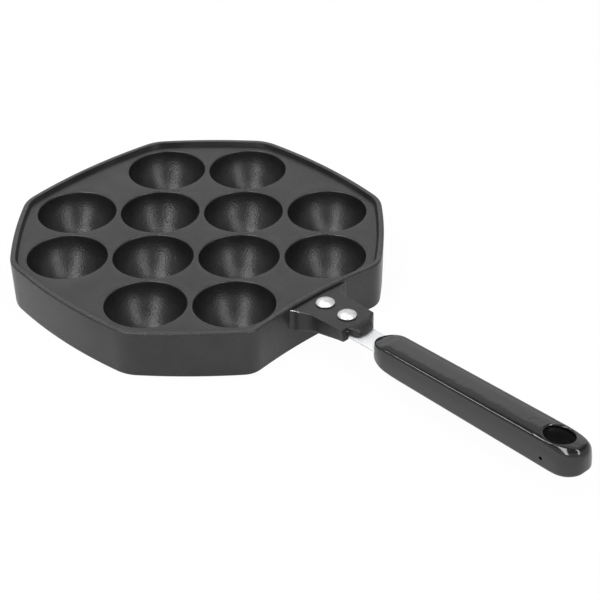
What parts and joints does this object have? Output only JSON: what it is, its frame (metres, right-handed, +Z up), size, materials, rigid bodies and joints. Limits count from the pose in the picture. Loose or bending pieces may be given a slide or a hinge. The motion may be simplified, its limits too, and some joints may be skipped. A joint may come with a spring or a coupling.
{
  "type": "takoyaki pan",
  "caption": "Eight-sided cast takoyaki pan with half-round cups in a square grid, a riveted strip and a fixed black grip with a hang hole.",
  "frame": {"origin": "centre of the whole pan's bounding box in plan, on the plane that it stands on", "axes": "+X along the grip, from the pan towards the hang hole; +Y across the grip; +Z up, cups opening upwards"},
  "size_m": [0.379, 0.1974, 0.0289],
  "materials": {
    "non_stick_coating": "satin",
    "strip_metal": "satin",
    "rivet_metal": "satin",
    "black_phenolic": "gloss"
  },
  "bodies": {
    "root": {"pan_casting": "non_stick_coating", "handle_tang": "strip_metal", "rivet_inner": "rivet_metal", "rivet_outer": "rivet_metal", "grip": "black_phenolic"}
  },
  "joints": []
}
